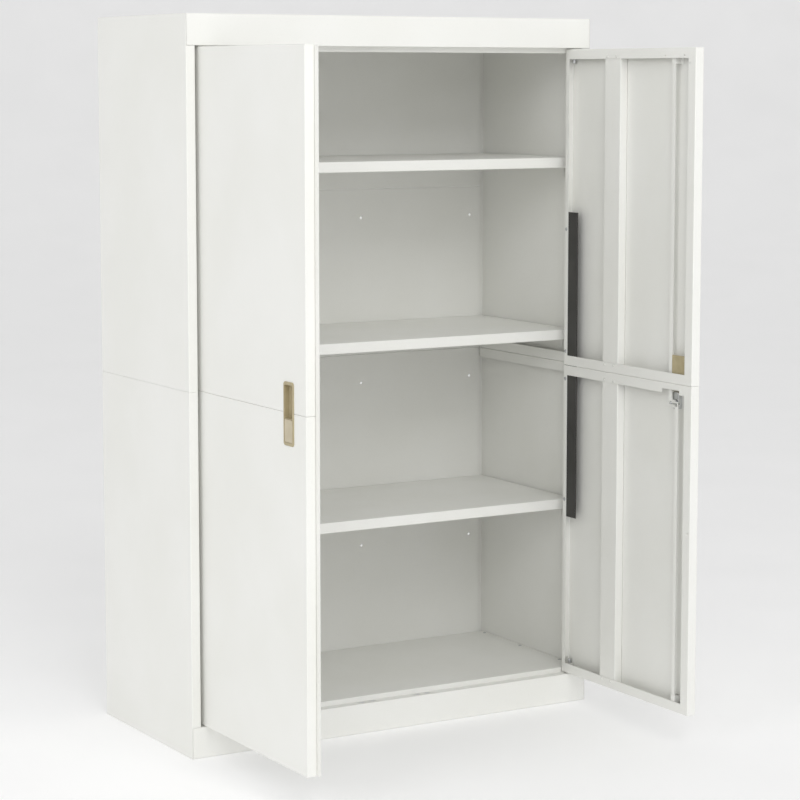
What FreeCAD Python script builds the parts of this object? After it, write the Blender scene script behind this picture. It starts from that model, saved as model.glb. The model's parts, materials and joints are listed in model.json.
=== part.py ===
"""Two-door sheet-steel storage cabinet with three shelves, doors standing open at right angles.

Millimetres, +Z up, +X to the right seen from the front, +Y from the front to the back. Parts are drawn
with the carcass front face at Y = 0 and moved back by FRONT_Y when they are written, which puts the
origin on the ground in the middle of the whole bounding box.
"""
import FreeCAD, Part
import math
import os

from FreeCAD import Vector

# Carcass
WIDTH = 900.0
DEPTH = 400.0
HEIGHT = 1400.0
SHEET = 0.8
BEND = 0.9
HALF = SHEET / 2
GAP = 0.2
SEAM_Z = HEIGHT / 2
SIDE_X = WIDTH / 2

# Side panels
STILE = 18.5
JAMB_DEPTH = 19.8
REAR_FLANGE = 10.0
SEAM_FLANGE = 12.5
SEAM_LIP = 20.0
SEAM_END_GAP = 10.0
SEAM_SCREW_Y = (70.0, 205.0, 340.0)

# Top, floor and the ledges that the doors close against
LEDGE_Z = 59.5
TOP_LEDGE_Z = 1341.0
STOP_Y = 21.0
STOP_HEIGHT = 10.0
FLOOR_Z = 69.0
TOP_REAR_FLANGE = 20.0
PLINTH_RETURN = 18.0
PANEL_X = SIDE_X - 1.4
LEDGE_BAND = 8.0
LEDGE_SLOT_Y0 = 6.5
LEDGE_SLOT_Y1 = 17.0
FLOOR_SCREW_EDGE = 9.0
FLOOR_SCREW_Y = (80.0, 230.0, 372.0)
TOP_SCREW_EDGE = 7.0
TOP_SCREW_Y = (80.0, 210.0, 340.0)
BRACKET_Y0 = 60.0
BRACKET_Y1 = 385.0
BRACKET_W = 15.0
BRACKET_H = 16.0

# Back
BACK_COUNT = 4
BACK_Y = 395.2
BACK_END_Y = 399.0
BACK_X = SIDE_X - REAR_FLANGE - 0.5
BACK_HOLE_X = (143.0, 413.0)
BACK_HOLE_DROP = 61.0
BACK_HOLE_R = 2.5

# Shelves
SHELF_TOPS = {"lower": 417.5, "middle": 769.25, "upper": 1121.0}
SHELF_T = 21.0
SHELF_Y0 = 45.0
SHELF_Y1 = 394.0
SHELF_X = SIDE_X - 3.0
SHELF_LIP = 14.0
CLIP_Y = (95.0, 345.0)
CLIP_HALF = 8.0
CLIP_W = 13.0
CLIP_H = 20.0

# Doors, drawn closed: u runs from the hinge edge, d inwards from the outer face
DOOR_EDGE = 20.5
DOOR_GAP = 1.5
DOOR_W = SIDE_X - DOOR_EDGE - DOOR_GAP / 2
DOOR_T = 19.0
DOOR_Z0 = 61.5
DOOR_Z1 = 1339.0
DOOR_SEAM = (DOOR_Z0 + DOOR_Z1) / 2
LIP_END = 20.0
LIP_HINGE = 12.0
LIP_FREE = 23.0
LIP_RIVET_U = (143.5, 174.0)
LIP_RIVET_END = 15.5
LIP_HOLES = {"upper": [(332.6, 1324.0), (393.3, 1324.0), (410.6, 1310.0)], "lower": [(421.9, 417.0)]}
SEAM_BOLT_U = (90.0, 230.0, 320.0)
SEAM_BOLT_D = 12.0
NUT_R = 3.6
NUT_H = 3.0
LIP_D = DOOR_T - SHEET
DOOR_CORNER = 1.6
PIVOT_U = 12.5
PIVOT_D = 7.0
PIN_R = 3.0
PIN_PROUD = 4.5
PIN_HEAD_H = 9.0
BUSH_R = 4.0
BUSH_FLANGE_R = 5.5
BUSH_FLANGE_T = 1.2
BUSH_SLEEVE = 2.0
BUSH_PLAY = 0.15
HAT_U0 = 134.5
HAT_U1 = 187.5
HAT_BRIM = 8.0
BLOCK_0 = 1.2
BLOCK_U1 = 19.5
BLOCK_D1 = 15.8
BLOCK_H = 17.0
BLOCK_CORNER = 1.0
SWING_R = 17.4
SWING_CLEARANCE = 0.6
NOTCH_GAP = 1.2
WINDOW_D0 = 4.0
WINDOW_D1 = 14.0
WINDOW_Z0 = DOOR_Z0 + 15.5
WINDOW_Z1 = DOOR_Z0 + 29.5
SPLICE_REACH = 312.0
SPLICE_U0 = 2.0
SPLICE_U1 = 44.0
SPLICE_T = 1.8
SPLICE_SCREW_U = 6.0
SPLICE_SCREW_REACH = (28.0, 277.0)
STRIP_REACH = 12.75
STRIP_U0 = 407.0
STRIP_T = 1.0
STRIP_INSET = 2.0
STRIP_CORNER = 2.0
STRIP_RIVET_COUNT = 7
STRIP_RIVET_END = 50.0
STRIP_RIVET_EDGE = 8.0

# Handles
HANDLE_U = 366.5
HANDLE_Z0 = 642.0
HANDLE_Z1 = 755.0
HANDLE_W = 37.0
HANDLE_PROUD = 2.0
HANDLE_CORNER = 6.0
HANDLE_EDGE = 1.4
CUP_DEPTH = 11.5
CUP_STEP_Z = 686.5
CUP_WALL = 1.5
RECESS_W = 29.0
RECESS_WALL = 1.6
RECESS_CORNER = 3.0
SEAT_D = -0.4
SEAT_CORNER = 2.0
PLATE_EDGE = 0.6
RECESS_Z0 = 690.0
RECESS_Z1 = 749.4
PLATE_Z0 = 648.0
PLATE_Z1 = 688.5
COVER_U0 = 361.0
COVER_U1 = 401.0
COVER_D = 15.5
COVER_Z0 = DOOR_SEAM + 6
COVER_WALL = 1.5
COVER_CORNER = 1.5
PLATE_T = 1.2
PLATE_FACE_D = SEAT_D - GAP - PLATE_T

# Lock
LOCK_Z = 661.0
LOCK_BODY_HALF = 9.0
LOCK_BODY_D = 9.8
LOCK_BODY_Z0 = 650.5
LOCK_BODY_Z1 = 684.0
BARREL_R = 7.0
LOCK_FACE_R = 9.5
LOCK_FACE_T = 2.6
LOCK_EDGE = 1.0
KEY_SLOT_W = 1.2
KEY_SLOT_H = 6.4
KEY_SLOT_DEPTH = 5.0
PLUG_R = 4.5
PLUG_BORE_R = 4.7
BARREL_END_D = 10.6
CAM_D0 = 10.8
CAM_T = 1.6
CAM_ARM = 11.5
CAM_END_R = 4.5
CAM_HUB_R = 8.0
DRIVE_PIN_R = 1.9
ROD_W = 10.0
ROD_T = 1.5
ROD_D0 = {"upper": 12.6, "lower": 14.4}
ROD_END_GAP = 5.0
ROD_POINT = 6.0
ROD_TIP_HALF = 2.0
ROD_SLOT_W = 11.4
ROD_SLOT_D0 = 11.6
ROD_SLOT_D1 = 16.9
ROD_WINDOW_U0 = 335.5
ROD_WINDOW_U1 = 389.5
ROD_WINDOW_DROP0 = 25.0
ROD_WINDOW_DROP1 = 12.0
GUIDE_END = 24.0
GUIDE_HALF = 7.0
GUIDE_BRIM = 9.0
GUIDE_PLAY = 0.8
FORK_T = 2.5
FORK_REACH = 4.4
FORK_PLAY = 0.2

# Fasteners
RIVET_R = 1.6
RIVET_HEAD_R = 3.2
RIVET_HEAD_T = 1.1
SCREW_R = 2.0
SCREW_HEAD_R = 4.0
SCREW_HEAD_T = 1.9
CROSS_LONG = 3.6
CROSS_SHORT = 0.8
CROSS_DEPTH = 1.0
HOLE_CLEARANCE = 0.05
THROUGH = 1.0
TINY = 0.01

# A quarter turn of the cam lifts a drive pin further than the straight-line share of the rod's travel
FORK_LEAD = CAM_ARM * (math.sqrt(1 - 4 / math.pi ** 2) - math.acos(2 / math.pi) * 2 / math.pi)

# The open doors reach DOOR_REACH in front of the carcass
DOOR_REACH = DOOR_W + STRIP_REACH + DOOR_EDGE - PIVOT_U - PIVOT_D - DOOR_EDGE
FRONT_Y = (DOOR_REACH - DEPTH) / 2
PIVOT_X = SIDE_X - DOOR_EDGE - PIVOT_U

AXIS_X = Vector(1, 0, 0)
AXIS_Y = Vector(0, 1, 0)
AXIS_Z = Vector(0, 0, 1)
PLANES = {
    "xy": (lambda u, v, w: Vector(u, v, w), AXIS_Z),
    "yz": (lambda u, v, w: Vector(w, u, v), AXIS_X),
    "xz": (lambda u, v, w: Vector(u, w, v), AXIS_Y),
}


def box(x0, x1, y0, y1, z0, z1):
    return Part.makeBox(x1 - x0, y1 - y0, z1 - z0, Vector(x0, y0, z0))


def rounded_box(x0, x1, y0, y1, z0, z1, radius):
    """Box with every edge rounded."""
    solid = box(x0, x1, y0, y1, z0, z1)
    return solid.makeFillet(radius, solid.Edges)


def rounded_slab(u0, u1, z0, z1, d0, d1, radius):
    """Upright slab from depth d0 to d1 whose four corners, seen from the front, are rounded."""
    solid = box(u0, u1, d0, d1, z0, z1)
    across = [e for e in solid.Edges if abs(e.tangentAt(e.FirstParameter).y) > 0.9]
    return solid.makeFillet(radius, across)


def rod(radius, start, end):
    """Cylinder between two points."""
    run = end - start
    return Part.makeCylinder(radius, run.Length, start, run)


def fuse(shapes):
    solid = shapes[0].multiFuse(shapes[1:])
    return solid.removeSplitter()


def cut(shape, tools):
    return shape.cut(Part.makeCompound(tools))


def folded(points, lo, hi, plane):
    """Sheet bent along an open polyline, its mid surface, and extruded from lo to hi."""
    place, along = PLANES[plane]
    mid_radius = BEND + HALF
    flat = [Vector(u, v, 0) for u, v in points]
    runs = [(b - a).normalize() for a, b in zip(flat, flat[1:])]

    def side(sign):
        """Edges of one face of the sheet, sign +1 on the left of the polyline."""
        edges = []
        shift = sign * HALF
        start = flat[0] + Vector(-runs[0].y, runs[0].x, 0) * shift
        for corner, before, after in zip(flat[1:-1], runs, runs[1:]):
            turn = before.x * after.y - before.y * after.x
            tangent = mid_radius * math.tan(before.getAngle(after) / 2)
            hand = math.copysign(1.0, turn)
            centre = corner - before * tangent + Vector(-before.y, before.x, 0) * mid_radius * hand
            radius = mid_radius - hand * shift
            first = centre + Vector(before.y, -before.x, 0) * radius * hand
            last = centre + Vector(after.y, -after.x, 0) * radius * hand
            middle = centre + (first + last - centre * 2).normalize() * radius
            edges.append(("line", start, first))
            edges.append(("arc", first, middle, last))
            start = last
        end = flat[-1] + Vector(-runs[-1].y, runs[-1].x, 0) * shift
        edges.append(("line", start, end))
        return edges

    left, right = side(1), side(-1)
    caps = [("line", left[-1][-1], right[-1][-1]), ("line", left[0][1], right[0][1])]
    edges = []
    for kind, *knots in left + right + caps:
        spots = [place(p.x, p.y, lo) for p in knots]
        curve = Part.LineSegment(*spots) if kind == "line" else Part.Arc(*spots)
        edges.append(curve.toShape())
    face = Part.Face(Part.Wire(Part.__sortEdges__(edges)))
    return face.extrude(along * (hi - lo))


def dome(radius, height, base, direction):
    """Shallow domed head standing on base."""
    ball_r = (radius ** 2 + height ** 2) / (2 * height)
    ball = Part.makeSphere(ball_r, base - direction * (ball_r - height))
    return ball.common(Part.makeCylinder(radius, height, base, direction))


def rivet(base, direction):
    """Blind rivet: a domed head on base and its body through the two sheets behind."""
    head = dome(RIVET_HEAD_R, RIVET_HEAD_T, base, direction)
    body = rod(RIVET_R, base - direction * (2 * SHEET + GAP), base)
    return fuse([head, body])


def screw(base, direction, length=6.0):
    """Pan-head screw with a cross recess."""
    head = dome(SCREW_HEAD_R, SCREW_HEAD_T, base, direction)
    body = rod(SCREW_R, base - direction * length, base)
    solid = fuse([head, body])
    turn = FreeCAD.Rotation(AXIS_Z, direction)
    blades = []
    for wide, deep in ((CROSS_LONG / 2, CROSS_SHORT / 2), (CROSS_SHORT / 2, CROSS_LONG / 2)):
        blade = box(-wide, wide, -deep, deep, SCREW_HEAD_T - CROSS_DEPTH, SCREW_HEAD_T + THROUGH)
        blade.Placement = FreeCAD.Placement(base, turn)
        blades.append(blade)
    return cut(solid, blades)


def holes(spots, direction, radius, length=6.0):
    """Drills through each spot, half the length each way."""
    half = direction * (length / 2)
    return [rod(radius + HOLE_CLEARANCE, spot - half, spot + half) for spot in spots]


def mirrored(shape):
    return shape.mirror(Vector(0, 0, 0), AXIS_X)


# Carcass -------------------------------------------------------------------------------------------

def rail_screw_spots(x):
    return [Vector(x, y, SEAM_Z) for y in SEAM_SCREW_Y]


def left_side(upper):
    """Half of the left side: skin, front stile with its jamb, rear flange and the joint lip."""
    z0, z1 = (SEAM_Z + GAP / 2, HEIGHT) if upper else (0.0, SEAM_Z - GAP / 2)
    inner = -SIDE_X + SHEET
    profile = [
        (-SIDE_X + STILE - HALF, JAMB_DEPTH),
        (-SIDE_X + STILE - HALF, HALF),
        (-SIDE_X + HALF, HALF),
        (-SIDE_X + HALF, DEPTH - HALF),
        (-SIDE_X + REAR_FLANGE, DEPTH - HALF),
    ]
    shell = folded(profile, z0, z1, "xy")
    joint_z = z0 + HALF if upper else z1 - HALF
    lip_z = joint_z + SEAM_LIP if upper else joint_z - SEAM_LIP
    lip = [(inner - HALF, joint_z), (-SIDE_X + SEAM_FLANGE, joint_z), (-SIDE_X + SEAM_FLANGE, lip_z)]
    end_z = HEIGHT - 2 * SHEET - GAP if upper else 0.0
    y0, y1 = 2 * STOP_Y, DEPTH - SEAM_END_GAP
    end_flange = box(inner - HALF, -SIDE_X + SEAM_FLANGE, y0, y1, end_z, end_z + SHEET)
    solid = fuse([shell, folded(lip, y0, y1, "xz"), end_flange])
    if upper:
        clear = (TOP_LEDGE_Z - GAP, HEIGHT + 1)
        tools = [box(-SIDE_X, 0, DEPTH - 3, DEPTH + 1, HEIGHT - TOP_REAR_FLANGE - GAP, HEIGHT + 1)]
        tools += holes(top_screw_spots(-1), AXIS_Z, SCREW_R, 8.0)
    else:
        clear = (-1, LEDGE_Z + GAP)
        tools = []
    tools.append(box(inner + GAP, 0, -1, STOP_Y + 1, *clear))
    tools += holes(rail_screw_spots(-SIDE_X + SEAM_FLANGE / 2 + 1), AXIS_Z, SCREW_R)
    return cut(solid, tools)


def seam_screws():
    """Screws that join the two halves of each side through their joint flanges."""
    x = SIDE_X - SEAM_FLANGE / 2 - 1
    spots = rail_screw_spots(-x) + rail_screw_spots(x)
    return [screw(spot + AXIS_Z * (SHEET + GAP / 2), AXIS_Z, 5.0) for spot in spots]


def door_slots(ledge_z):
    """Openings in the ledge at this height for the hinge bushes and for the lock rods, both doors alike."""
    z0, z1 = ledge_z - LEDGE_BAND, ledge_z + LEDGE_BAND
    tools = []
    for side in (-1, 1):
        x = side * PIVOT_X
        tools.append(rod(BUSH_R + HOLE_CLEARANCE, Vector(x, PIVOT_D, z0), Vector(x, PIVOT_D, z1)))
        for u in (HANDLE_U - CAM_ARM, HANDLE_U + CAM_ARM):
            x = side * (SIDE_X - DOOR_EDGE - u)
            half = ROD_SLOT_W / 2
            tools.append(box(x - half, x + half, LEDGE_SLOT_Y0, LEDGE_SLOT_Y1, z0, z1))
    return tools


def swing_notches(z0, z1):
    """Room beside each pivot for the corner of the turning door."""
    radius = SWING_R + SWING_CLEARANCE
    half = math.sqrt(radius ** 2 - (STOP_Y - PIVOT_D) ** 2)
    return [box(side * PIVOT_X - half, side * PIVOT_X + half, STOP_Y - GAP, PIVOT_D + radius, z0, z1)
            for side in (-1, 1)]


def floor_screw_spots():
    return [Vector(side * (SIDE_X - FLOOR_SCREW_EDGE), y, FLOOR_Z) for side in (-1, 1)
            for y in FLOOR_SCREW_Y]


def floor_panel():
    """Plinth, door ledge, door stop and floor in one folded sheet."""
    profile = [
        (PLINTH_RETURN, HALF),
        (HALF, HALF),
        (HALF, LEDGE_Z - HALF),
        (STOP_Y + HALF, LEDGE_Z - HALF),
        (STOP_Y + HALF, FLOOR_Z - HALF),
        (BACK_Y - GAP - HALF, FLOOR_Z - HALF),
        (BACK_Y - GAP - HALF, FLOOR_Z - SEAM_LIP),
    ]
    sheet = folded(profile, -PANEL_X, PANEL_X, "yz")
    ledge = door_slots(LEDGE_Z)
    tools = ledge + swing_notches(LEDGE_Z + NOTCH_GAP, FLOOR_Z + THROUGH)
    return cut(sheet, tools + holes(floor_screw_spots(), AXIS_Z, SCREW_R))


def floor_brackets():
    """Angle under each end of the floor, screwed to it."""
    outer = SIDE_X - SHEET - GAP - HALF
    top = FLOOR_Z - SHEET - GAP - HALF
    profile = [(outer, top - BRACKET_H), (outer, top), (outer - BRACKET_W, top)]
    right = folded(profile, BRACKET_Y0, BRACKET_Y1, "xz")
    right = cut(right, holes([spot for spot in floor_screw_spots() if spot.x > 0], AXIS_Z, SCREW_R))
    return [mirrored(right), right]


def floor_screws():
    return [screw(spot, AXIS_Z) for spot in floor_screw_spots()]


def top_screw_spots(*sides):
    return [Vector(side * (SIDE_X - TOP_SCREW_EDGE), y, HEIGHT) for side in sides for y in TOP_SCREW_Y]


def top_panel():
    """Top skin with the deep front band, its ledge, its stop and a rear flange."""
    profile = [
        (STOP_Y + HALF, TOP_LEDGE_Z - STOP_HEIGHT),
        (STOP_Y + HALF, TOP_LEDGE_Z + HALF),
        (HALF, TOP_LEDGE_Z + HALF),
        (HALF, HEIGHT - HALF),
        (DEPTH - HALF, HEIGHT - HALF),
        (DEPTH - HALF, HEIGHT - TOP_REAR_FLANGE),
    ]
    sheet = folded(profile, -PANEL_X, PANEL_X, "yz")
    ledge = door_slots(TOP_LEDGE_Z)
    tools = ledge + swing_notches(TOP_LEDGE_Z - STOP_HEIGHT - THROUGH, TOP_LEDGE_Z - NOTCH_GAP)
    return cut(sheet, tools + holes(top_screw_spots(-1, 1), AXIS_Z, SCREW_R, 4.0))


def top_screws():
    """Screws driven up through the end flanges of the sides into the top skin."""
    grip = 2 * SHEET + GAP
    return [screw(spot - AXIS_Z * grip, -AXIS_Z, grip - 0.1) for spot in top_screw_spots(-1, 1)]


def level_edges(solid, y):
    """Horizontal edges of the face at this y."""
    return [e for e in solid.Edges if e.BoundBox.YMax < y + TINY and e.BoundBox.ZLength < TINY]


def back_panel(index):
    """One tray of the back, open to the rear, with its row of fixing holes."""
    step = HEIGHT / BACK_COUNT
    z0 = index * step + GAP
    z1 = (index + 1) * step - GAP
    if index == BACK_COUNT - 1:
        z1 = HEIGHT - 2 * SHEET - 2 * GAP
    outer = box(-BACK_X, BACK_X, BACK_Y, BACK_END_Y, z0, z1)
    outer = outer.makeFillet(BEND + HALF, level_edges(outer, BACK_Y))
    hollow = box(-BACK_X + SHEET, BACK_X - SHEET, BACK_Y + SHEET, DEPTH, z0 + SHEET, z1 - SHEET)
    hollow = hollow.makeFillet(HALF, level_edges(hollow, BACK_Y + SHEET))
    row = [Vector(side * x, BACK_Y, (index + 1) * step - BACK_HOLE_DROP)
           for side in (-1, 1) for x in BACK_HOLE_X]
    return cut(outer, [hollow] + holes(row, AXIS_Y, BACK_HOLE_R))


def shelf(top):
    """Shelf tray, open below, with turned-in lips along the front and back edges."""
    outer = rounded_box(-SHELF_X, SHELF_X, SHELF_Y0, SHELF_Y1, top - SHELF_T, top, BEND + SHEET)
    hollow = box(-SHELF_X + SHEET, SHELF_X - SHEET, SHELF_Y0 + SHEET, SHELF_Y1 - SHEET,
                 top - SHELF_T + SHEET, top - SHEET)
    mouth = box(-SHELF_X + SHEET, SHELF_X - SHEET, SHELF_Y0 + SHELF_LIP, SHELF_Y1 - SHELF_LIP,
                top - SHELF_T - THROUGH, top - SHELF_T + 2 * SHEET)
    return cut(outer, [hollow, mouth])


def shelf_clips(top):
    """Four angle clips on the side walls, a tab under each corner of the shelf."""
    z = top - SHELF_T - GAP - HALF
    wall = SIDE_X - SHEET - GAP - HALF
    profile = [(wall, z - CLIP_H), (wall, z), (wall - CLIP_W, z)]
    clips = []
    for y in CLIP_Y:
        right = folded(profile, y - CLIP_HALF, y + CLIP_HALF, "xz")
        clips += [mirrored(right), right]
    return clips


def hinge_bushes(side):
    """Flanged plastic bushes in the floor ledge and the top ledge."""
    bushes = []
    for ledge, inward in ((LEDGE_Z, 1), (TOP_LEDGE_Z, -1)):
        face = Vector(side * PIVOT_X, PIVOT_D, ledge)
        up = AXIS_Z * inward
        flange = rod(BUSH_FLANGE_R, face, face + up * BUSH_FLANGE_T)
        sleeve = rod(BUSH_R, face - up * BUSH_SLEEVE, face)
        bore = rod(PIN_R + BUSH_PLAY, face - up * 2 * BUSH_SLEEVE, face + up * 2 * BUSH_SLEEVE)
        bushes.append(fuse([flange, sleeve]).cut(bore))
    return bushes


# Doors, drawn as the left one, closed, from its outer hinge-side corner ----------------------------

def door_halves():
    """Lower and upper height range of the two trays that make a door."""
    return {"lower": (DOOR_Z0, DOOR_SEAM - GAP / 2), "upper": (DOOR_SEAM + GAP / 2, DOOR_Z1)}


def splice_screw_spots():
    return [Vector(SPLICE_SCREW_U, DOOR_T, DOOR_SEAM + side * reach)
            for side in (-1, 1) for reach in SPLICE_SCREW_REACH]


def lip_rivet_spots(z0, z1):
    """Rivets through the end lips into the stiffener."""
    return [Vector(u, DOOR_T, z) for u in LIP_RIVET_U for z in (z0 + LIP_RIVET_END, z1 - LIP_RIVET_END)]


def lip_hole_spots(half):
    """Small open holes in the lips."""
    return [Vector(u, DOOR_T, z) for u, z in LIP_HOLES[half]]


def seam_bolt_spots():
    return [Vector(u, SEAM_BOLT_D, DOOR_SEAM) for u in SEAM_BOLT_U]


def door_tray(half, lock):
    """Half door: skin, four edges and a lip all round the inner face."""
    z0, z1 = door_halves()[half]
    outer = rounded_box(0, DOOR_W, 0, DOOR_T, z0, z1, DOOR_CORNER)
    hollow = rounded_box(SHEET, DOOR_W - SHEET, SHEET, LIP_D, z0 + SHEET, z1 - SHEET, DOOR_CORNER - SHEET)
    mouth = box(LIP_HINGE, DOOR_W - LIP_FREE, LIP_D - THROUGH, DOOR_T + THROUGH,
                z0 + LIP_END, z1 - LIP_END)
    tools = [hollow, mouth]
    cup_half = RECESS_W / 2 + RECESS_WALL + GAP
    tools.append(box(HANDLE_U - cup_half, HANDLE_U + cup_half, -THROUGH, CUP_DEPTH + GAP,
                     CUP_STEP_Z - GAP, RECESS_Z1 + RECESS_WALL + GAP))
    tools.append(box(SPLICE_U0 - 2 * GAP, SPLICE_U1 + 2 * GAP, LIP_D - SPLICE_T - 2 * GAP, LIP_D,
                     DOOR_SEAM - 2 * SHEET, DOOR_SEAM + 2 * SHEET))
    tools += holes([Vector(PIVOT_U, PIVOT_D, z) for z in (DOOR_Z0, DOOR_Z1)], AXIS_Z, PIN_R)
    tools += holes(splice_screw_spots(), AXIS_Y, SCREW_R)
    tools += holes(lip_rivet_spots(z0, z1), AXIS_Y, RIVET_R)
    tools += holes(seam_bolt_spots(), AXIS_Z, SCREW_R)
    tools += holes(lip_hole_spots(half), AXIS_Y, RIVET_R)
    if half == "lower":
        tools.append(box(-THROUGH, SHEET + THROUGH, WINDOW_D0, WINDOW_D1, WINDOW_Z0, WINDOW_Z1))
    if lock:
        tools.append(lock_bore(BARREL_R + GAP).common(box(0, DOOR_W, -THROUGH, CUP_DEPTH, 0, DOOR_SEAM)))
        slots = {"lower": [(HANDLE_U + CAM_ARM, DOOR_Z0)],
                 "upper": [(HANDLE_U - CAM_ARM, DOOR_Z1), (HANDLE_U - CAM_ARM, DOOR_SEAM)]}
        slots["lower"].append((HANDLE_U - CAM_ARM, DOOR_SEAM))
        wide = ROD_SLOT_W / 2
        tools += [box(u - wide, u + wide, ROD_SLOT_D0, ROD_SLOT_D1, z - 2 * SHEET, z + 2 * SHEET)
                  for u, z in slots[half]]
        tools.append(box(ROD_WINDOW_U0, ROD_WINDOW_U1, LIP_D - THROUGH, DOOR_T + THROUGH,
                         DOOR_SEAM - ROD_WINDOW_DROP0, DOOR_SEAM - ROD_WINDOW_DROP1))
    else:
        tools += holes(strip_rivet_spots(), AXIS_Y, RIVET_R)
    return cut(outer, tools)


def stiffener(half):
    """Channel up the middle of a half door, its ends under the lips."""
    z0, z1 = door_halves()[half]
    skin_d = SHEET + GAP + HALF
    face_d = LIP_D - GAP - HALF
    profile = [
        (HAT_U0 + HAT_BRIM, skin_d),
        (HAT_U0 + HALF, skin_d),
        (HAT_U0 + HALF, face_d),
        (HAT_U1 - HALF, face_d),
        (HAT_U1 - HALF, skin_d),
        (HAT_U1 - HAT_BRIM, skin_d),
    ]
    hat = folded(profile, z0 + 2 * SHEET, z1 - 2 * SHEET, "xy")
    return cut(hat, holes(lip_rivet_spots(z0, z1), AXIS_Y, RIVET_R))


def hinge_blocks():
    """Moulded blocks in the hinge-side corners that hold the pivot pins."""
    blocks = []
    for z in (DOOR_Z0 + 2 * SHEET, DOOR_Z1 - 2 * SHEET - BLOCK_H):
        block = rounded_box(BLOCK_0, BLOCK_U1, BLOCK_0, BLOCK_D1, z, z + BLOCK_H, BLOCK_CORNER)
        pin = Vector(PIVOT_U, PIVOT_D, z + BLOCK_H / 2)
        blocks.append(cut(block, holes([pin], AXIS_Z, PIN_R, 2 * BLOCK_H)))
    return blocks


def splice_bar():
    """Dark flat bar under the hinge lip that ties the two half doors together."""
    lower = DOOR_SEAM - SPLICE_REACH
    upper = DOOR_SEAM + SPLICE_REACH
    face = LIP_D - GAP
    flat = box(SPLICE_U0, SPLICE_U1, face - SPLICE_T, face, lower, upper)
    return cut(flat, holes(splice_screw_spots(), AXIS_Y, SCREW_R))


def hinge_pins():
    """Pivot pins with a head inside the door, top and bottom."""
    pins = []
    for wall, up in ((DOOR_Z0, -1), (DOOR_Z1, 1)):
        face = Vector(PIVOT_U, PIVOT_D, wall)
        along = AXIS_Z * up
        inner = face - along * (2 * SHEET + BLOCK_H + GAP)
        shank = rod(PIN_R, inner, face + along * PIN_PROUD)
        head = rod(PIN_R + SHEET, inner - along * PIN_HEAD_H, inner)
        pins.append(fuse([shank, head]))
    return pins


def splice_screws():
    return [screw(spot, AXIS_Y, 4.0) for spot in splice_screw_spots()]


def seam_bolts():
    """Bolts and nuts that clamp the two trays of a door together."""
    bolts = []
    for spot in seam_bolt_spots():
        top = spot + AXIS_Z * (SHEET + GAP / 2)
        foot = spot - AXIS_Z * (SHEET + GAP / 2)
        nut = Part.Face(Part.makePolygon([
            foot + Vector(NUT_R * math.cos(math.radians(a)), NUT_R * math.sin(math.radians(a)), 0)
            for a in range(0, 361, 60)])).extrude(AXIS_Z * -NUT_H)
        shank = rod(SCREW_R, foot - AXIS_Z * 2 * NUT_H, top)
        bolts.append(fuse([dome(SCREW_HEAD_R, SCREW_HEAD_T, top, AXIS_Z), shank, nut]))
    return bolts


def door_rivets():
    """Rivets through the end lips into the stiffeners."""
    rivets = []
    for z0, z1 in door_halves().values():
        rivets += [rivet(spot, AXIS_Y) for spot in lip_rivet_spots(z0, z1)]
    return rivets


def strip_rivet_spots():
    start = DOOR_Z0 + STRIP_RIVET_END
    step = (DOOR_Z1 - STRIP_RIVET_END - start) / (STRIP_RIVET_COUNT - 1)
    face = DOOR_T + GAP / 2 + STRIP_T
    return [Vector(STRIP_U0 + STRIP_RIVET_EDGE, face, start + step * i) for i in range(STRIP_RIVET_COUNT)]


def closing_strip():
    """Flat strip behind the left door's free edge that the right door closes on."""
    d0 = DOOR_T + GAP / 2
    strip = rounded_slab(STRIP_U0, DOOR_W + STRIP_REACH, DOOR_Z0 + STRIP_INSET, DOOR_Z1 - STRIP_INSET,
                         d0, d0 + STRIP_T, STRIP_CORNER)
    return cut(strip, holes(strip_rivet_spots(), AXIS_Y, RIVET_R))


def strip_rivets():
    return [rivet(spot, AXIS_Y) for spot in strip_rivet_spots()]


def face_edges(solid, d):
    """Edges of the outermost face, at depth d."""
    return [e for e in solid.Edges if e.BoundBox.YMax < d + TINY]


def lock_bore(radius):
    """Bore for the lock, right through the handle."""
    centre = Vector(HANDLE_U, 0, LOCK_Z)
    return rod(radius, centre - AXIS_Y * DOOR_T, centre + AXIS_Y * DOOR_T)


def handle_cup():
    """Moulded flush handle: bezel, finger recess above and a shallow seat for the plate below."""
    half = HANDLE_W / 2
    bezel = rounded_slab(HANDLE_U - half, HANDLE_U + half, HANDLE_Z0, HANDLE_Z1, -HANDLE_PROUD, 0,
                         HANDLE_CORNER)
    bezel = bezel.makeFillet(HANDLE_EDGE, face_edges(bezel, -HANDLE_PROUD))
    reach = RECESS_W / 2
    wall = reach + RECESS_WALL
    high = rounded_slab(HANDLE_U - wall, HANDLE_U + wall, CUP_STEP_Z, RECESS_Z1 + RECESS_WALL,
                        0, CUP_DEPTH, RECESS_CORNER)
    recess = rounded_box(HANDLE_U - reach, HANDLE_U + reach, -DOOR_T, CUP_DEPTH - CUP_WALL,
                         RECESS_Z0, RECESS_Z1, RECESS_CORNER)
    seat = rounded_slab(HANDLE_U - reach, HANDLE_U + reach, PLATE_Z0, RECESS_Z0 + 2 * RECESS_CORNER,
                        -DOOR_T, SEAT_D, SEAT_CORNER)
    return cut(fuse([bezel, high]), [recess, seat, lock_bore(BARREL_R + GAP)])


def handle_plate(lock):
    """Blank lower plate of the handle, bored for the lock barrel on the right door."""
    reach = RECESS_W / 2 - GAP
    back = SEAT_D - GAP
    plate = rounded_slab(HANDLE_U - reach, HANDLE_U + reach, PLATE_Z0 + GAP, PLATE_Z1,
                         back - PLATE_T, back, SEAT_CORNER)
    plate = plate.makeFillet(PLATE_EDGE, face_edges(plate, back - PLATE_T))
    return plate.cut(lock_bore(BARREL_R + GAP)) if lock else plate


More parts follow.
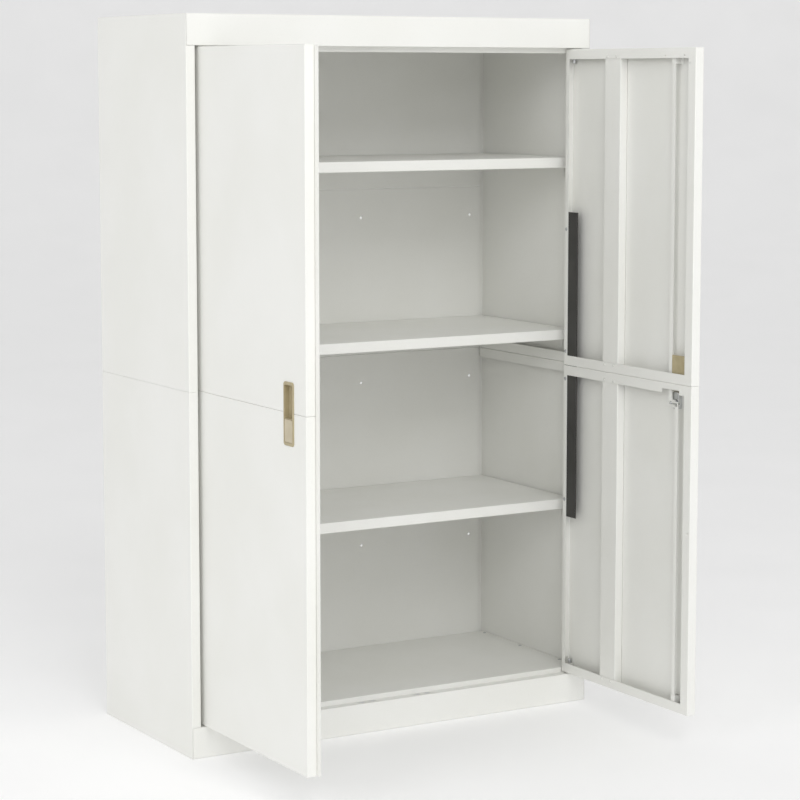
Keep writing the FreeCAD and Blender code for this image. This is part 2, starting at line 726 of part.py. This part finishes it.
def handle_rear_cover():
    """Moulded cap over the back of the finger recess."""
    low = CUP_DEPTH + GAP
    outer = rounded_box(COVER_U0, COVER_U1, low - 2 * COVER_CORNER, COVER_D, COVER_Z0, HANDLE_Z1,
                        COVER_CORNER)
    outer = outer.common(box(COVER_U0, COVER_U1, low, COVER_D, COVER_Z0, HANDLE_Z1))
    hollow = box(COVER_U0 + COVER_WALL, COVER_U1 - COVER_WALL, low - THROUGH, COVER_D - COVER_WALL,
                 COVER_Z0 + COVER_WALL, HANDLE_Z1 - COVER_WALL)
    return outer.cut(hollow)


def lock_housing():
    """Lock with its round face, barrel and cast body behind the handle."""
    centre = Vector(HANDLE_U, 0, LOCK_Z)
    face = rod(LOCK_FACE_R, centre + AXIS_Y * (PLATE_FACE_D - LOCK_FACE_T), centre + AXIS_Y * PLATE_FACE_D)
    face = face.makeFillet(LOCK_EDGE, face_edges(face, PLATE_FACE_D - LOCK_FACE_T))
    barrel = rod(BARREL_R, centre + AXIS_Y * PLATE_FACE_D, centre + AXIS_Y * BARREL_END_D)
    body = rounded_slab(HANDLE_U - LOCK_BODY_HALF, HANDLE_U + LOCK_BODY_HALF, LOCK_BODY_Z0, LOCK_BODY_Z1,
                        SHEET + GAP, LOCK_BODY_D, RECESS_CORNER)
    rear = [e for e in body.Edges if e.BoundBox.YMin > LOCK_BODY_D - TINY]
    body = body.makeFillet(LOCK_EDGE, rear)
    return fuse([face, barrel, body]).cut(lock_bore(PLUG_BORE_R))


def lock_plug():
    """Turning plug with its key slot."""
    centre = Vector(HANDLE_U, 0, LOCK_Z)
    front = PLATE_FACE_D - LOCK_FACE_T - GAP
    plug = rod(PLUG_R, centre + AXIS_Y * front, centre + AXIS_Y * CAM_D0)
    slot = box(HANDLE_U - KEY_SLOT_W / 2, HANDLE_U + KEY_SLOT_W / 2, front - THROUGH, front + KEY_SLOT_DEPTH,
               LOCK_Z - KEY_SLOT_H / 2, LOCK_Z + KEY_SLOT_H / 2)
    return plug.cut(slot)


def lock_cam():
    """Flat double-ended cam on the back of the plug with a drive pin for each rod."""
    d0, d1 = CAM_D0, CAM_D0 + CAM_T
    hub = Vector(HANDLE_U, 0, LOCK_Z)
    pieces = [rod(CAM_HUB_R, hub + AXIS_Y * d0, hub + AXIS_Y * d1)]
    pieces.append(box(HANDLE_U - CAM_ARM, HANDLE_U + CAM_ARM, d0, d1,
                      LOCK_Z - CAM_END_R, LOCK_Z + CAM_END_R))
    for side, half in ((-1, "upper"), (1, "lower")):
        pin = Vector(HANDLE_U + side * CAM_ARM, 0, LOCK_Z)
        pieces.append(rod(CAM_END_R, pin + AXIS_Y * d0, pin + AXIS_Y * d1))
        pieces.append(rod(DRIVE_PIN_R, pin + AXIS_Y * d0, pin + AXIS_Y * (ROD_D0[half] + ROD_T + GAP / 2)))
    return fuse(pieces)


def lock_rod(half):
    """Flat locking rod: a forked end around its drive pin, then straight to the end of the door."""
    up = 1 if half == "upper" else -1
    u = HANDLE_U - CAM_ARM * up
    tip = DOOR_Z1 - ROD_END_GAP if up > 0 else DOOR_Z0 + ROD_END_GAP
    w = ROD_W / 2
    near = DRIVE_PIN_R + FORK_PLAY
    far = near + FORK_LEAD

    def band(u0, u1, z0, z1):
        """Piece of the flat bar, heights counted from the lock away along the rod."""
        low, high = sorted((LOCK_Z + z0 * up, LOCK_Z + z1 * up))
        left, right = sorted((u - u0 * up, u - u1 * up))
        return box(left, right, ROD_D0[half], ROD_D0[half] + ROD_T, low, high)

    inner = -CAM_ARM - FORK_REACH
    pieces = [band(near, near + FORK_T, -near - FORK_T, far + FORK_T)]
    pieces.append(band(inner, near + FORK_T, -near - FORK_T, -near))
    pieces.append(band(inner, near + FORK_T, far, far + FORK_T))
    root, neck = LOCK_Z + far * up, tip - ROD_POINT * up
    outline = [(u - w, root), (u + w, root), (u + w, neck), (u + ROD_TIP_HALF, tip),
               (u - ROD_TIP_HALF, tip), (u - w, neck), (u - w, root)]
    face = Part.Face(Part.makePolygon([Vector(a, ROD_D0[half], z) for a, z in outline]))
    return fuse(pieces + [face.extrude(AXIS_Y * ROD_T)])


def rod_guides():
    """Bridges on the skin, near the ends of the door, that the rods slide in."""
    guides = []
    for half, z in (("upper", DOOR_Z1 - GUIDE_END), ("lower", DOOR_Z0 + GUIDE_END)):
        u = HANDLE_U - CAM_ARM if half == "upper" else HANDLE_U + CAM_ARM
        skin_d = SHEET + GAP + HALF
        inside = ROD_W / 2 + GUIDE_PLAY
        high = ROD_D0[half] + ROD_T + GUIDE_PLAY
        foot = inside + GUIDE_BRIM
        profile = [(u - foot, skin_d), (u - inside, skin_d), (u - inside, high), (u + inside, high),
                   (u + inside, skin_d), (u + foot, skin_d)]
        guides.append(folded(profile, z - GUIDE_HALF, z + GUIDE_HALF, "xy"))
    return guides


# Placing and writing -------------------------------------------------------------------------------

def open_left(shape):
    """Move a piece from the closed drawing position to the left door standing open."""
    placed = shape.copy()
    placed.translate(Vector(-SIDE_X + DOOR_EDGE, 0, 0))
    placed.rotate(Vector(-PIVOT_X, PIVOT_D, 0), AXIS_Z, -90)
    return placed


def open_right(shape):
    return mirrored(open_left(shape))


def write(name, pieces):
    """Write one sub-part, a single solid or a group of alike solids."""
    pieces = pieces if isinstance(pieces, list) else [pieces]
    shape = Part.makeCompound(pieces) if len(pieces) > 1 else pieces[0]
    shape = shape.copy()
    shape.translate(Vector(0, FRONT_Y, 0))
    if not shape.isValid():
        print("invalid", name)
    if len(shape.Solids) != len(pieces):
        print("solids", name, len(shape.Solids), len(pieces))
    shape.exportStep("parts/" + name + ".step")


def write_carcass():
    for half in ("lower", "upper"):
        side = left_side(half == "upper")
        write("left_side_" + half, side)
        write("right_side_" + half, mirrored(side))
    write("side_seam_screws", seam_screws())
    write("floor_panel", floor_panel())
    for name, bracket in zip(("left", "right"), floor_brackets()):
        write(name + "_floor_bracket", bracket)
    write("floor_screws", floor_screws())
    write("top_panel", top_panel())
    write("top_screws", top_screws())
    for index in range(BACK_COUNT):
        write("back_panel_%d" % (index + 1), back_panel(index))
    for name, top in SHELF_TOPS.items():
        write("shelf_" + name, shelf(top))
        write("shelf_clips_" + name, shelf_clips(top))
    write("left_hinge_bushes", hinge_bushes(-1))
    write("right_hinge_bushes", hinge_bushes(1))


def write_door(name, placing, lock):
    def place(pieces):
        return [placing(p) for p in pieces] if isinstance(pieces, list) else placing(pieces)
    for half in ("lower", "upper"):
        write(name + "_tray_" + half, place(door_tray(half, lock)))
        write(name + "_stiffener_" + half, place(stiffener(half)))
    write(name + "_splice_bar", place(splice_bar()))
    write(name + "_splice_screws", place(splice_screws()))
    write(name + "_hinge_blocks", place(hinge_blocks()))
    write(name + "_hinge_pins", place(hinge_pins()))
    write(name + "_seam_bolts", place(seam_bolts()))
    write(name + "_rivets", place(door_rivets()))
    write(name + "_handle", place(handle_cup()))
    write(name + "_handle_plate", place(handle_plate(lock)))
    if lock:
        write(name + "_handle_cover", place(handle_rear_cover()))
        write("lock_housing", place(lock_housing()))
        write("lock_plug", place(lock_plug()))
        write("lock_cam", place(lock_cam()))
        write("lock_rod_upper", place(lock_rod("upper")))
        write("lock_rod_lower", place(lock_rod("lower")))
        write("lock_rod_guides", place(rod_guides()))
    else:
        write(name + "_closing_strip", place(closing_strip()))
        write(name + "_strip_rivets", place(strip_rivets()))


os.makedirs("parts", exist_ok=True)
write_carcass()
write_door("left_door", open_left, False)
write_door("right_door", open_right, True)
print("front face at Y", FRONT_Y, "pivots at X", PIVOT_X, "Y", PIVOT_D + FRONT_Y)
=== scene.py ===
import json
import math

import bmesh
import bpy
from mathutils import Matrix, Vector

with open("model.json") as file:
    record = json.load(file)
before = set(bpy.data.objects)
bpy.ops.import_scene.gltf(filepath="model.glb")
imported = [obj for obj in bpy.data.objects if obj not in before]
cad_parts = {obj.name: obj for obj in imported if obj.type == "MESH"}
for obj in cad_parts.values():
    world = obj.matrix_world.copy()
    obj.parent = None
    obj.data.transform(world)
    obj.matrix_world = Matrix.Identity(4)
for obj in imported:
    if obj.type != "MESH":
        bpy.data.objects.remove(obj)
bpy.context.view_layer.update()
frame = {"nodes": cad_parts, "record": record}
nodes = frame["nodes"]
scene = bpy.context.scene

MM = 0.001
BLACK_TO_WHITE = 255

# Stage and camera: lengths in metres and angles in degrees, unless a name says otherwise
FLOOR_SINK = 0.0005
SWEEP_SIDES = 64
SWEEP_RINGS = [(6.0, 0.0), (9.0, 0.0), (12.0, 0.25), (14.0, 1.0), (15.5, 2.6), (16.2, 5.0), (16.4, 9.0)]
SWEEP_GLOW = 0.17
WORLD_STRENGTH = 0.54
FOCAL_MM = 111.2175
SENSOR_MM = 36.0
CAMERA_SPOT = (-2.4302, -4.1172, 1.2792)
CAMERA_DOWN = 6.481
CAMERA_RIGHT = 30.541
CAMERA_SHIFT_Y = -0.05
CAMERA_REACH = 60.0

# Each light: position, the point it faces, width and height, power in watts
LIGHTS = {
    "left_fill": ((-4.8, -2.0, 3.2), (0.0, 0.0, 0.7), (2.6, 2.6), 32.0),
    "key": ((-2.6, -4.6, 3.2), (0.0, 0.2, 0.8), (2.6, 2.6), 38.0),
    "high_front": ((-0.6, -4.2, 4.2), (0.0, 0.2, 0.8), (3.0, 2.4), 66.0),
}


# Node helpers --------------------------------------------------------------------------------------

class Tree:
    """Short calls for building one material's nodes."""

    def __init__(self, name):
        self.material = bpy.data.materials.new(name)
        self.material.use_nodes = True
        self.tree = self.material.node_tree
        self.tree.nodes.clear()
        self.out = self.add("ShaderNodeOutputMaterial")
        self.shader = self.add("ShaderNodeBsdfPrincipled")
        self.link(self.shader.outputs[0], self.out.inputs["Surface"])
        self.place = self.add("ShaderNodeTexCoord").outputs["Object"]

    def add(self, kind, **values):
        node = self.tree.nodes.new(kind)
        for key, value in values.items():
            setattr(node, key, value)
        return node

    def link(self, source, target):
        self.tree.links.new(source, target)

    def noise(self, scale, detail=2.0, roughness=0.5, stretch=None):
        node = self.add("ShaderNodeTexNoise")
        node.inputs["Scale"].default_value = scale
        node.inputs["Detail"].default_value = detail
        node.inputs["Roughness"].default_value = roughness
        place = self.place
        if stretch:
            mapping = self.add("ShaderNodeMapping")
            mapping.inputs["Scale"].default_value = stretch
            self.link(place, mapping.inputs["Vector"])
            place = mapping.outputs[0]
        self.link(place, node.inputs["Vector"])
        return node.outputs["Fac"]

    def spread(self, value, from_low, from_high, low, high):
        """Map a value from one range to another, clamped."""
        node = self.add("ShaderNodeMapRange")
        limits = {"From Min": from_low, "From Max": from_high, "To Min": low, "To Max": high}
        for key, number in limits.items():
            node.inputs[key].default_value = number
        self.link(value, node.inputs["Value"])
        return node.outputs[0]

    def mask(self, scale, start, end, low=0.0, high=1.0, detail=2.0, roughness=0.5, stretch=None):
        """Noise as a value from low to high: it leaves low at start and reaches high at end."""
        return self.spread(self.noise(scale, detail, roughness, stretch), start, end, low, high)

    def blend(self, factor, first, second):
        """Mix two colours, each a tuple or a socket."""
        node = self.add("ShaderNodeMix", data_type="RGBA")
        self.link(factor, node.inputs[0])
        for socket, colour in ((node.inputs[6], first), (node.inputs[7], second)):
            if isinstance(colour, tuple):
                socket.default_value = (*colour, 1.0)
            else:
                self.link(colour, socket)
        return node.outputs[2]

    def maths(self, operation, first, second):
        """Clamped arithmetic on two values, each a number or a socket."""
        node = self.add("ShaderNodeMath", operation=operation, use_clamp=True)
        for socket, value in zip(node.inputs, (first, second)):
            if isinstance(value, (int, float)):
                socket.default_value = value
            else:
                self.link(value, socket)
        return node.outputs[0]

    def edges(self, radius):
        """Mask that is high close to an edge, from the difference between the rounded and true normal."""
        rounded = self.add("ShaderNodeBevel", samples=4)
        rounded.inputs["Radius"].default_value = radius
        geometry = self.add("ShaderNodeNewGeometry")
        dot = self.add("ShaderNodeVectorMath", operation="DOT_PRODUCT")
        self.link(rounded.outputs[0], dot.inputs[0])
        self.link(geometry.outputs["Normal"], dot.inputs[1])
        return rounded.outputs[0], self.spread(dot.outputs["Value"], 1.0, 0.8, 0.0, 1.0)

    def bump(self, height, strength, distance, normal):
        """Relief on top of a normal."""
        node = self.add("ShaderNodeBump")
        node.inputs["Strength"].default_value = strength
        node.inputs["Distance"].default_value = distance
        self.link(height, node.inputs["Height"])
        self.link(normal, node.inputs["Normal"])
        return node.outputs[0]

    def surface(self, colour, roughness, normal, **values):
        """Join the finished colour, roughness and normal to the shader and set its other inputs."""
        sources = {"Base Color": colour, "Roughness": roughness, "Normal": normal}
        for key, source in sources.items():
            self.link(source, self.shader.inputs[key])
        for key, value in values.items():
            self.shader.inputs[key.replace("_", " ")].default_value = value
        return self.material


def srgb(*channels):
    """Linear colour from display values of 11 to 255, where black's straight stretch isn't needed."""
    return tuple(((c / BLACK_TO_WHITE + 0.055) / 1.055) ** 2.4 for c in channels)


def scaled(colour, factor):
    """Lighter or darker copy of a colour, held at white."""
    return tuple(min(1.0, c * factor) for c in colour)


# Materials -----------------------------------------------------------------------------------------

def powder_coat(name, light, dark, gloss=(0.34, 0.46)):
    """Satin powder coat: fine orange peel, faint unevenness of tone and gloss, thin film on the edges."""
    t = Tree(name)
    normal, edge = t.edges(0.9 * MM)
    tone = t.mask(scale=5.0, detail=3.0, start=0.35, end=0.65)
    colour = t.blend(tone, light, dark)
    speck = t.mask(scale=420.0, detail=1.0, start=0.62, end=0.78, high=0.22)
    colour = t.blend(speck, colour, scaled(dark, 0.86))
    rub = t.mask(scale=60.0, detail=4.0, roughness=0.6, start=0.48, end=0.7, high=0.5)
    worn = t.maths("MULTIPLY", edge, rub)
    colour = t.blend(worn, colour, scaled(light, 0.9))
    roughness = t.mask(scale=28.0, detail=4.0, roughness=0.55, start=0.3, end=0.7,
                       low=gloss[0], high=gloss[1])
    peel = t.noise(scale=650.0, detail=2.0, roughness=0.5)
    wave = t.noise(scale=14.0, detail=1.0)
    normal = t.bump(wave, strength=0.10, distance=0.6 * MM, normal=normal)
    normal = t.bump(peel, strength=0.12, distance=0.10 * MM, normal=normal)
    return t.surface(colour, roughness, normal, IOR=1.48, Specular_IOR_Level=0.42)


def moulded(name, light, dark, grain, gloss, coat=0.0):
    """Moulded plastic with a fine spark-eroded grain and a lightly rubbed rim."""
    t = Tree(name)
    normal, edge = t.edges(0.7 * MM)
    tone = t.mask(scale=45.0, detail=3.0, start=0.35, end=0.65)
    colour = t.blend(tone, light, dark)
    flow = t.mask(scale=9.0, detail=2.0, stretch=(1.0, 1.0, 0.2), start=0.4, end=0.6, high=0.35)
    colour = t.blend(flow, colour, scaled(dark, 0.92))
    rub = t.mask(scale=180.0, detail=3.0, start=0.4, end=0.65, low=0.1, high=0.6)
    rubbed = t.maths("MULTIPLY", edge, rub)
    colour = t.blend(rubbed, colour, scaled(light, 1.25))
    roughness = t.mask(scale=240.0, detail=3.0, start=0.3, end=0.7, low=gloss[0], high=gloss[1])
    sparks = t.noise(scale=1900.0, detail=2.0, roughness=0.6)
    normal = t.bump(sparks, strength=grain, distance=0.06 * MM, normal=normal)
    return t.surface(colour, roughness, normal, Coat_Weight=coat, Coat_Roughness=0.25)


def metal(name, light, dark, gloss, brush, anisotropic=0.0):
    """Bare or plated metal with brush lines, handling marks and a painted highlight that lightens every
    edge.
    """
    t = Tree(name)
    normal, edge = t.edges(0.4 * MM)
    cloud = t.mask(scale=120.0, detail=4.0, roughness=0.6, start=0.35, end=0.65)
    colour = t.blend(cloud, light, dark)
    # Painted highlight: every edge is lightened by a fixed amount, standing in for light glinting off the
    # rounded edges.
    colour = t.blend(t.maths("MULTIPLY", edge, 0.6), colour, scaled(light, 1.15))
    lines = t.noise(scale=1400.0, detail=2.0, roughness=0.6, stretch=(1.0, 1.0, 0.06))
    roughness = t.mask(scale=70.0, detail=3.0, start=0.3, end=0.7, low=gloss[0], high=gloss[1])
    normal = t.bump(lines, strength=brush, distance=0.03 * MM, normal=normal)
    return t.surface(colour, roughness, normal, Metallic=1.0, Anisotropic=anisotropic)


WHITE_LIGHT = srgb(243, 243, 239)
WHITE_DARK = srgb(240, 240, 235)
materials = {
    "white_paint": powder_coat("white_paint", WHITE_LIGHT, WHITE_DARK),
    "dark_bar": powder_coat("dark_bar", srgb(70, 69, 67), srgb(60, 59, 57), gloss=(0.5, 0.62)),
    "tan_moulding": moulded("tan_moulding", srgb(186, 174, 140), srgb(176, 163, 129),
                            grain=0.22, gloss=(0.36, 0.5)),
    "tan_plate": moulded("tan_plate", srgb(203, 192, 165), srgb(194, 182, 154),
                         grain=0.12, gloss=(0.28, 0.4), coat=0.15),
    "chrome_lock": metal("chrome_lock", (0.78, 0.79, 0.80), (0.66, 0.67, 0.68),
                         gloss=(0.10, 0.24), brush=0.05),
    "white_rivet": moulded("white_rivet", srgb(243, 243, 238), srgb(236, 236, 231),
                           grain=0.06, gloss=(0.16, 0.3), coat=0.4),
    "bush_plastic": moulded("bush_plastic", srgb(208, 208, 203), srgb(198, 198, 192),
                            grain=0.2, gloss=(0.4, 0.55)),
    "zinc_hardware": metal("zinc_hardware", (0.68, 0.69, 0.70), (0.52, 0.53, 0.55),
                           gloss=(0.26, 0.42), brush=0.12, anisotropic=0.2),
}
slots = {row["node"]: row["material_slot"] for row in frame["record"]["subparts"]}
for name, node in nodes.items():
    node.data.materials.clear()
    node.data.materials.append(materials[slots[name]])


# Floor, light and camera ---------------------------------------------------------------------------

def floor_material():
    """Matt, nearly white, with a faint glow that keeps the backdrop pale."""
    t = Tree("studio_floor")
    tone = t.mask(scale=3.0, detail=4.0, start=0.3, end=0.7)
    t.link(t.blend(tone, (0.93, 0.93, 0.93), (0.90, 0.90, 0.90)), t.shader.inputs["Base Color"])
    roughness = t.mask(scale=40.0, detail=3.0, start=0.3, end=0.7, low=0.75, high=0.9)
    t.link(roughness, t.shader.inputs["Roughness"])
    t.shader.inputs["Specular IOR Level"].default_value = 0.1
    t.shader.inputs["Emission Color"].default_value = (1.0, 1.0, 1.0, 1.0)
    t.shader.inputs["Emission Strength"].default_value = SWEEP_GLOW
    return t.material


def stage_sweep():
    """Pale floor that curves up into a far backdrop all round."""
    mesh = bpy.data.meshes.new("studio_floor")
    bm = bmesh.new()
    angles = [i * math.tau / SWEEP_SIDES for i in range(SWEEP_SIDES)]
    loops = []
    for radius, height in SWEEP_RINGS:
        loops.append([bm.verts.new((radius * math.cos(a), radius * math.sin(a), height)) for a in angles])
    bm.faces.new(loops[0])
    for low, high in zip(loops, loops[1:]):
        for i in range(SWEEP_SIDES):
            following = (i + 1) % SWEEP_SIDES
            bm.faces.new((low[i], low[following], high[following], high[i]))
    bmesh.ops.recalc_face_normals(bm, faces=bm.faces)
    for face in bm.faces:
        face.smooth = True
    bm.to_mesh(mesh)
    bm.free()
    floor = bpy.data.objects.new("studio_floor", mesh)
    floor.location.z = -FLOOR_SINK
    scene.collection.objects.link(floor)
    mesh.materials.append(floor_material())


def area_light(name, spot, target, size, power):
    """Soft rectangular light at a spot, turned to a target."""
    data = bpy.data.lights.new(name, "AREA")
    data.shape = "RECTANGLE"
    data.size, data.size_y = size
    data.energy = power
    light = bpy.data.objects.new(name, data)
    light.location = spot
    light.rotation_mode = "QUATERNION"
    light.rotation_quaternion = (Vector(target) - Vector(spot)).to_track_quat("-Z", "Y")
    scene.collection.objects.link(light)


def place_camera():
    """Camera to the front left, a little lower than the cabinet's top, turned to the right and down."""
    data = bpy.data.cameras.new("camera")
    data.sensor_width = SENSOR_MM
    data.lens = FOCAL_MM
    data.shift_y = CAMERA_SHIFT_Y
    data.clip_end = CAMERA_REACH
    camera = bpy.data.objects.new("camera", data)
    camera.location = CAMERA_SPOT
    camera.rotation_euler = (math.radians(90 - CAMERA_DOWN), 0.0, math.radians(-CAMERA_RIGHT))
    scene.collection.objects.link(camera)
    scene.camera = camera


stage_sweep()
world = bpy.data.worlds.new("studio")
scene.world = world
world.use_nodes = True
world.node_tree.nodes["Background"].inputs[0].default_value = (1.0, 1.0, 1.0, 1.0)
world.node_tree.nodes["Background"].inputs[1].default_value = WORLD_STRENGTH
for name, settings in LIGHTS.items():
    area_light(name, *settings)
scene.view_settings.view_transform = "Standard"
scene.view_settings.look = "None"

place_camera()
